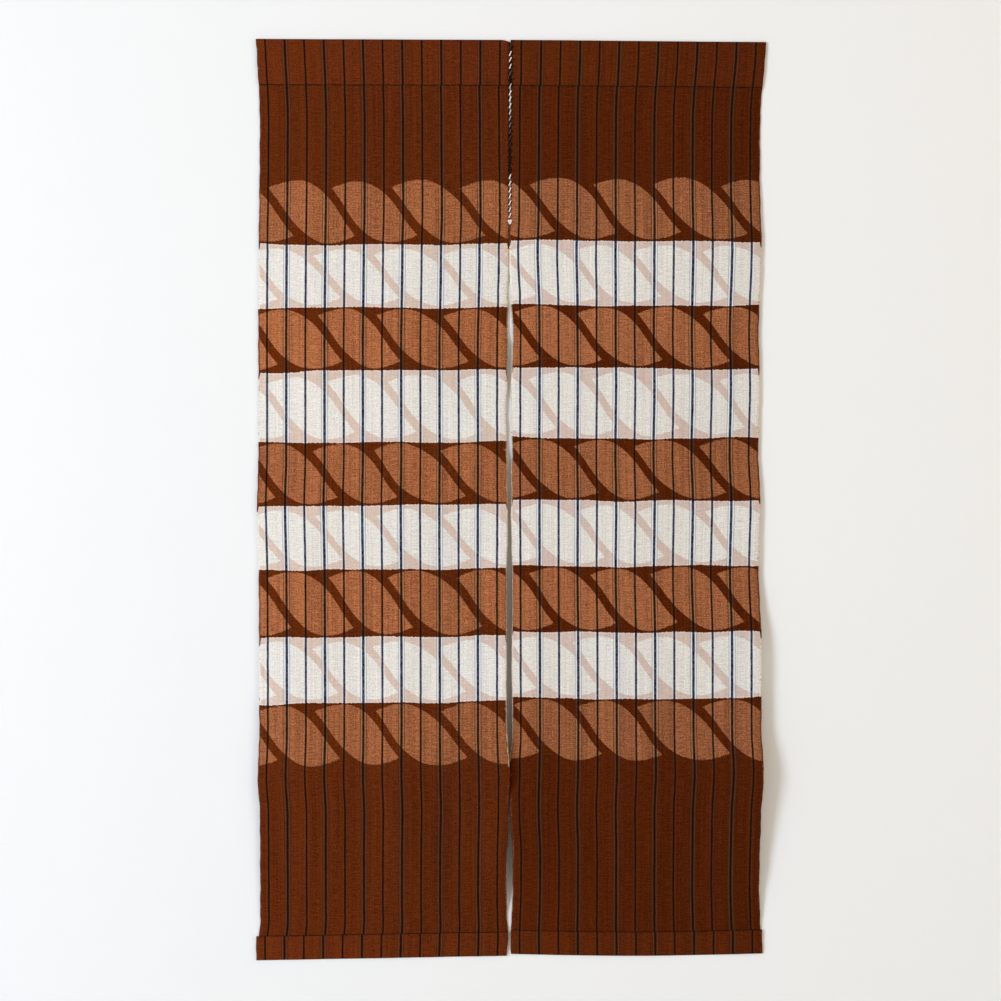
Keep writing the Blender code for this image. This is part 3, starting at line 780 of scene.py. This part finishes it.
def cloth_material(side, face):
    material = bpy.data.materials.new(f"dyed_cotton_{side}_{face}")
    material.use_nodes = True
    tree = material.node_tree
    shader = tree.nodes["Principled BSDF"]
    dye = DYES[side, face]
    group = wire(tree, "ShaderNodeGroup", node_tree=dyed_cloth)
    for name, layer in (("Cloth Place", "cloth"), ("Dye Place", "dye")):
        tree.links.new(wire(tree, "ShaderNodeUVMap", uv_map=layer).outputs[0], group.inputs[name])
    group.inputs["Seed"].default_value = PANELS[side].seed
    colours = {"Ground": dye.ground, "Strand": dye.strand, "Pale": dye.pale, "Pale Gap": dye.gap}
    for name, colour in colours.items():
        group.inputs[name].default_value = (*colour, 1)
    group.inputs["Unevenness"].default_value = dye.unevenness
    group.inputs["Fading"].default_value = dye.fading
    group.inputs["Right Hand"].default_value = 1.0 if side == "right" else 0.0
    bump = bump_normal(tree, group.outputs["Height"], 0.55, 0.00022)
    tree.links.new(group.outputs["Color"], shader.inputs["Base Color"])
    tree.links.new(group.outputs["Roughness"], shader.inputs["Roughness"])
    tree.links.new(bump, shader.inputs["Normal"])
    shader.inputs["Specular IOR Level"].default_value = 0.04
    shader.inputs["Sheen Weight"].default_value = 0.02
    shader.inputs["Sheen Roughness"].default_value = 0.5
    shader.inputs["Sheen Tint"].default_value = (0.62, 0.36, 0.22, 1)
    return material


for side in PANELS:
    cloth = make_cloth(side)
    cloth.data.materials.append(cloth_material(side, "reverse"))
    cloth.data.materials.append(cloth_material(side, "face"))
    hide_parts("panel_" + side)
    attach(cloth, "root")

# Slip stitches: small stitches of brown cotton thread that hold down the heading and the hem.
# Each is a short bead of thread sunk in the flap, close to its folded edge.
STITCH_GAP = 0.0062
STITCH = (0.0010, 0.00022, 0.00028)
STITCH_INSET = 0.0022
STITCH_STRAY = 0.0003
STITCH_TILT = 0.35


def make_stitches(side):
    panel = PANELS[side]
    mesh = bmesh.new()
    count = int(WOVEN_WIDTH / STITCH_GAP)
    for seam, inset in ((HEADING, -STITCH_INSET), (LENGTH - HEM, STITCH_INSET)):
        for number in range(1, count):
            share = np.array(number / count)
            drop = np.array(seam + inset + STITCH_STRAY * math.sin(2.3 * number + panel.seed))
            outer = panel.hem_outer if inset > 0 else None
            spot = place(side, share, drop, 2 * LAYER + CLOTH / 2, outer)
            across = WOVEN_WIDTH * (share if panel.side < 0 else 1 - share)
            spot[1] -= hand_relief(side, share, drop, across)
            tilt = Matrix.Rotation(STITCH_TILT + 0.2 * math.sin(1.7 * number), 4, "Y")
            matrix = Matrix.Translation(Vector(spot)) @ tilt @ Matrix.Diagonal((*STITCH, 1))
            bmesh.ops.create_uvsphere(mesh, u_segments=6, v_segments=4, radius=1, matrix=matrix)
    data = bpy.data.meshes.new("stitching_" + side)
    mesh.to_mesh(data)
    mesh.free()
    data.shade_smooth()
    stitches = bpy.data.objects.new("stitching_" + side, data)
    bpy.context.scene.collection.objects.link(stitches)
    return stitches


def cotton_thread_group():
    """Colour and relief of cotton thread, which took up more or less of the dye; on the lacing's runs behind
    the cloth its Dyed input also carries painted shade.
    """
    tree = bpy.data.node_groups.new("cotton thread", "ShaderNodeTree")
    for name, kind in (
        ("Place", "NodeSocketVector"), ("Fibres", "NodeSocketFloat"), ("Dyed", "NodeSocketFloat"),
        ("Undyed Color", "NodeSocketColor"), ("Dyed Color", "NodeSocketColor"),
    ):
        tree.interface.new_socket(name, in_out="INPUT", socket_type=kind)
    tree.interface.new_socket("Color", in_out="OUTPUT", socket_type="NodeSocketColor")
    tree.interface.new_socket("Height", in_out="OUTPUT", socket_type="NodeSocketFloat")
    given = tree.nodes.new("NodeGroupInput").outputs
    noise = wire(
        tree, "ShaderNodeTexNoise", {"Vector": given["Place"], "Scale": given["Fibres"], "Detail": 2.0}
    ).outputs["Fac"]
    patchy = plus(tree, given["Dyed"], times(tree, minus(tree, noise, 0.5), 0.35))
    colour = blend(tree, step_up(tree, patchy, 0.05, 0.95), given["Undyed Color"], given["Dyed Color"])
    tone = plus(tree, 0.80, times(tree, noise, 0.40))
    toned = scaled(tree, colour, tone)
    wire(tree, "NodeGroupOutput", {"Color": toned, "Height": noise})
    return tree


cotton_thread = cotton_thread_group()


def thread_material(name, undyed, dyed, fibres):
    """Cotton thread, as dark as its dyed attribute says: dye, and on the lacing's runs behind the cloth also
    painted shade. It has so many fibres a metre.
    """
    material = bpy.data.materials.new(name)
    material.use_nodes = True
    tree = material.node_tree
    shader = tree.nodes["Principled BSDF"]
    group = wire(tree, "ShaderNodeGroup", node_tree=cotton_thread)
    tree.links.new(wire(tree, "ShaderNodeTexCoord").outputs["Object"], group.inputs["Place"])
    dye = wire(tree, "ShaderNodeAttribute", attribute_name="dyed").outputs["Fac"]
    tree.links.new(dye, group.inputs["Dyed"])
    group.inputs["Fibres"].default_value = fibres
    group.inputs["Undyed Color"].default_value = (*undyed, 1)
    group.inputs["Dyed Color"].default_value = (*dyed, 1)
    bump = bump_normal(tree, group.outputs["Height"], 0.4, 0.0001)
    tree.links.new(group.outputs["Color"], shader.inputs["Base Color"])
    tree.links.new(bump, shader.inputs["Normal"])
    shader.inputs["Roughness"].default_value = 0.85
    shader.inputs["Specular IOR Level"].default_value = 0.2
    return material


sewing_thread = thread_material("brown_sewing_thread", (0.060, 0.017, 0.006), (0.020, 0.007, 0.004), 2500.0)
for side in PANELS:
    stitches = make_stitches(side)
    stitches.data.materials.append(sewing_thread)
    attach(stitches, "root")

# Lacing: one thick two-ply cotton thread that joins the inner selvedges. It crosses the face in
# slanted stitches, pierces each selvedge and returns behind, and it ends in a knot. Parts of it
# took up the dye, so it goes from grey to nearly black and back to white on its way down; where
# it runs behind the cloth it is mostly painted darker still, as painted shade of the slit.
LACE_STITCHES = 27
LACE_REACH = 0.0016
LACE_RISE = 0.0036
PLY_RADIUS = 0.00053
PLY_OFFSET = 0.00046
PLY_TWIST = 0.0042
LACE_FACE = 0.0013
LACE_BACK = 0.0010
POINT_STEP = 0.0008
LACE_SWAY = 0.0004
FLAP_MARGIN = 0.002
POCKET_FREE = 0.85
KNOT_STAND = 0.0020
KNOT_DROP = 0.2975
KNOT_SCALE = 0.00098
Shade = namedtuple("Shade", "drop over under")
# Over is the dye of the stitches on the face; under is the thread behind the cloth, mostly darker than over:
# painted shade of the slit.
LACE_SHADES = (
    Shade(0.014, 0.85, 1.00), Shade(0.020, 0.08, 0.90), Shade(0.046, 0.12, 0.90),
    Shade(0.054, 0.75, 1.00), Shade(0.060, 1.00, 1.00), Shade(0.0735, 1.00, 1.00),
    Shade(0.0757, 0.45, 0.15), Shade(0.080, 0.00, 0.05), Shade(0.100, 0.05, 0.15),
    Shade(0.112, 0.20, 0.50), Shade(0.130, 0.60, 0.85), Shade(0.150, 0.80, 0.95),
    Shade(0.185, 0.95, 1.00), Shade(0.216, 0.95, 1.00), Shade(0.221, 0.00, 0.30),
    Shade(0.230, 0.00, 0.10), Shade(0.310, 0.00, 0.10),
)


def front_layer(drop):
    """Offset of the cloth that the thread crosses: the flap's in the heading, else the cloth's own."""
    return np.where(drop < HEADING + FLAP_MARGIN, np.maximum(pocket_depth(drop), 2 * LAYER), 0.0)


def lace_point(x, drop, offset):
    point = place("left", np.array(1.0), np.array(drop), offset)
    point[0] = along(SLIT, np.array(drop), "line") + x
    return point


DROPS, OVER, UNDER = (np.array(column) for column in zip(*LACE_SHADES))


def lace_route():
    """Points that the thread passes, stitch by stitch, each with its dye and painted shade as a fourth
    value.

    A stitch slants over the face, and the thread returns behind, where it is mostly painted darker, as
    painted shade of the slit."""
    route = []
    for stitch in range(LACE_STITCHES):
        drop = LACE_TOP + LACE_PITCH * stitch + LACE_SWAY * math.sin(2.1 * stitch)
        reach = LACE_REACH * (1 + 0.10 * math.sin(3.7 * stitch))
        layer = float(front_layer(np.array(drop + LACE_RISE)))
        layer = max(layer, float(front_layer(np.array(drop))))
        over, under = (float(np.interp(drop, DROPS, shades)) for shades in (OVER, UNDER))
        for share, rise in ((-1.0, 0.0), (-0.75, 0.8), (0.0, 1.0), (0.75, 0.8), (1.0, 0.0)):
            spot = lace_point(share * reach, drop - share * LACE_RISE, layer + rise * LACE_FACE)
            route.append((*spot, over if abs(share) < 1 else (over + under) / 2))
        if stitch < LACE_STITCHES - 1:
            behind = min(layer, float(front_layer(np.array(drop + LACE_PITCH + LACE_RISE))))
            behind = behind if drop + LACE_PITCH + LACE_RISE < POCKET_FREE * HEADING else 0.0
            for share in (0.75, 0.0, -0.75):
                run = (1 - share) / 2
                low = drop - LACE_RISE + run * (LACE_PITCH + 2 * LACE_RISE)
                route.append((*lace_point(share * reach, low, behind - LACE_BACK), under))
    return np.array(route)


def knot_route():
    """An overhand knot, as a trefoil."""
    centre = np.append(lace_point(0.0, KNOT_DROP, CLOTH / 2 + KNOT_STAND), 0.0)
    turns = np.linspace(0, 2 * np.pi, 49)
    trefoil = np.stack([
        np.sin(turns) + 2 * np.sin(2 * turns),
        1.1 * np.sin(3 * turns),
        1.25 * (np.cos(turns) - 2 * np.cos(2 * turns)),
        0 * turns,
    ], axis=1)
    return centre + KNOT_SCALE * trefoil


def smooth_route(points, step):
    """Points at even steps on a Catmull-Rom curve through a route."""
    padded = np.concatenate([2 * points[:1] - points[1:2], points, 2 * points[-1:] - points[-2:-1]])
    fine = []
    for p0, p1, p2, p3 in zip(padded, padded[1:], padded[2:], padded[3:]):
        t = np.linspace(0, 1, 12, endpoint=False)[:, None]
        fine.append(0.5 * (
            2 * p1 + (p2 - p0) * t + (2 * p0 - 5 * p1 + 4 * p2 - p3) * t ** 2
            + (3 * p1 - p0 - 3 * p2 + p3) * t ** 3
        ))
    fine = np.concatenate(fine + [points[-1:]])
    walked = np.concatenate([[0], np.cumsum(np.linalg.norm(np.diff(fine[:, :3], axis=0), axis=1))])
    even = np.linspace(0, walked[-1], int(walked[-1] / step) + 1)
    return np.stack([np.interp(even, walked, column) for column in fine.T], axis=1)


def add_plies(curve, route):
    """Two plies wound round a route, each a spline of the curve. Gives the route's even points."""
    points, dye = np.split(smooth_route(route, POINT_STEP), [3], axis=1)
    forward = np.gradient(points, axis=0)
    forward /= np.linalg.norm(forward, axis=1)[:, None]
    sideways = np.cross(forward, (0.31, 0.87, 0.38))
    sideways /= np.linalg.norm(sideways, axis=1)[:, None]
    upwards = np.cross(forward, sideways)
    angle = 2 * np.pi * np.arange(len(points)) * POINT_STEP / PLY_TWIST
    for start in (0, np.pi):
        turn = (angle + start)[:, None]
        ply = points + PLY_OFFSET * (np.cos(turn) * sideways + np.sin(turn) * upwards)
        spline = curve.splines.new("POLY")
        spline.points.add(len(ply) - 1)
        spline.points.foreach_set("co", np.c_[ply, np.ones(len(ply))].ravel())
        spline.use_smooth = True
    return np.hstack([points, dye])


thread_curve = bpy.data.curves.new("lacing_thread", "CURVE")
thread_curve.dimensions = "3D"
thread_curve.bevel_depth = PLY_RADIUS
thread_curve.bevel_resolution = 2
thread_curve.use_fill_caps = True
thread_points = np.concatenate([add_plies(thread_curve, route) for route in (lace_route(), knot_route())])
guide = bpy.data.objects.new("lacing_guide", thread_curve)
thread_mesh = bpy.data.meshes.new_from_object(guide)
bpy.data.objects.remove(guide)
nearest = KDTree(len(thread_points))
for index, point in enumerate(thread_points):
    nearest.insert(point[:3], index)
nearest.balance()
# The dyed attribute holds the thread's dye and, on its runs behind the cloth, painted shade.
dyed = thread_mesh.attributes.new("dyed", "FLOAT", "POINT")
for vertex, value in zip(thread_mesh.vertices, dyed.data):
    value.value = thread_points[nearest.find(vertex.co)[1], 3]
thread_mesh.shade_smooth()
lacing = bpy.data.objects.new("lacing_thread", thread_mesh)
bpy.context.scene.collection.objects.link(lacing)
thread_mesh.materials.clear()
thread_mesh.materials.append(
    thread_material("lacing_cotton_thread", (0.95, 0.92, 0.89), (0.012, 0.008, 0.006), 1700.0)
)
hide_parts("lacing")
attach(lacing, "root")

# Stage: a white wall close behind the cloth takes its shadow, and a pale floor lies below. The
# wall isn't there when it is looked at from behind, so that the curtain's back can be seen.
WALL_GAP = 0.0003
FLOOR_HEIGHT = -1.86
WALL_SIZE = 5.0
FLOOR_SIZE = 9.0
LIGHT_AIM = (0, 0, -0.75)


def stage_plane(name, size, matrix, colour, one_sided):
    mesh = bmesh.new()
    bmesh.ops.create_grid(mesh, x_segments=1, y_segments=1, size=size / 2, matrix=matrix)
    data = bpy.data.meshes.new(name)
    mesh.to_mesh(data)
    mesh.free()
    plane = bpy.data.objects.new(name, data)
    bpy.context.scene.collection.objects.link(plane)
    material = bpy.data.materials.new(name)
    material.use_nodes = True
    tree = material.node_tree
    shader = tree.nodes["Principled BSDF"]
    shader.inputs["Base Color"].default_value = (*colour, 1)
    shader.inputs["Roughness"].default_value = 1.0
    shader.inputs["Specular IOR Level"].default_value = 0.0
    if one_sided:
        behind = wire(tree, "ShaderNodeNewGeometry").outputs["Backfacing"]
        path = wire(tree, "ShaderNodeLightPath").outputs
        passed = calc(tree, "GREATER_THAN", path["Transparent Depth"], 0.5)
        lets_light_in = times(tree, path["Is Shadow Ray"], passed)
        clear = wire(tree, "ShaderNodeBsdfTransparent").outputs[0]
        seen_through = calc(tree, "MAXIMUM", behind, lets_light_in)
        mix = wire(tree, "ShaderNodeMixShader", {0: seen_through, 1: shader.outputs[0], 2: clear})
        tree.links.new(mix.outputs[0], tree.nodes["Material Output"].inputs["Surface"])
    data.materials.append(material)


wall_place = Matrix.Translation((0, ORIGIN_LIFT + WALL_GAP, FLOOR_HEIGHT + WALL_SIZE / 2))
wall_matrix = wall_place @ Matrix.Rotation(math.pi / 2, 4, "X")
stage_plane("wall", WALL_SIZE, wall_matrix, (0.90, 0.90, 0.90), True)
stage_plane("floor", FLOOR_SIZE, Matrix.Translation((0, 0, FLOOR_HEIGHT)), (0.78, 0.78, 0.77), False)


def add_light(name, place_at, look_at, size, power, colour=(1, 1, 1)):
    data = bpy.data.lights.new(name, "AREA")
    data.shape = "SQUARE"
    data.size = size
    data.energy = power
    data.color = colour
    light = bpy.data.objects.new(name, data)
    light.location = place_at
    light.rotation_euler = (Vector(look_at) - Vector(place_at)).to_track_quat("-Z", "Y").to_euler()
    bpy.context.scene.collection.objects.link(light)


add_light("key_light", (-4.7, -4.7, -0.3), LIGHT_AIM, 2.0, 281, (0.705, 0.828, 1.0))
add_light("fill_light", (6.0, -5.0, 0.0), LIGHT_AIM, 5.0, 154, (1.0, 0.885, 0.721))
add_light("back_light", (-1.6, 3.2, 0.8), LIGHT_AIM, 2.0, 120)
world = bpy.data.worlds.new("studio")
world.use_nodes = True
world.node_tree.nodes["Background"].inputs["Color"].default_value = (1, 0.882, 0.710, 1)
world.node_tree.nodes["Background"].inputs["Strength"].default_value = 0.488
bpy.context.scene.world = world
bpy.context.scene.view_settings.view_transform = "Standard"
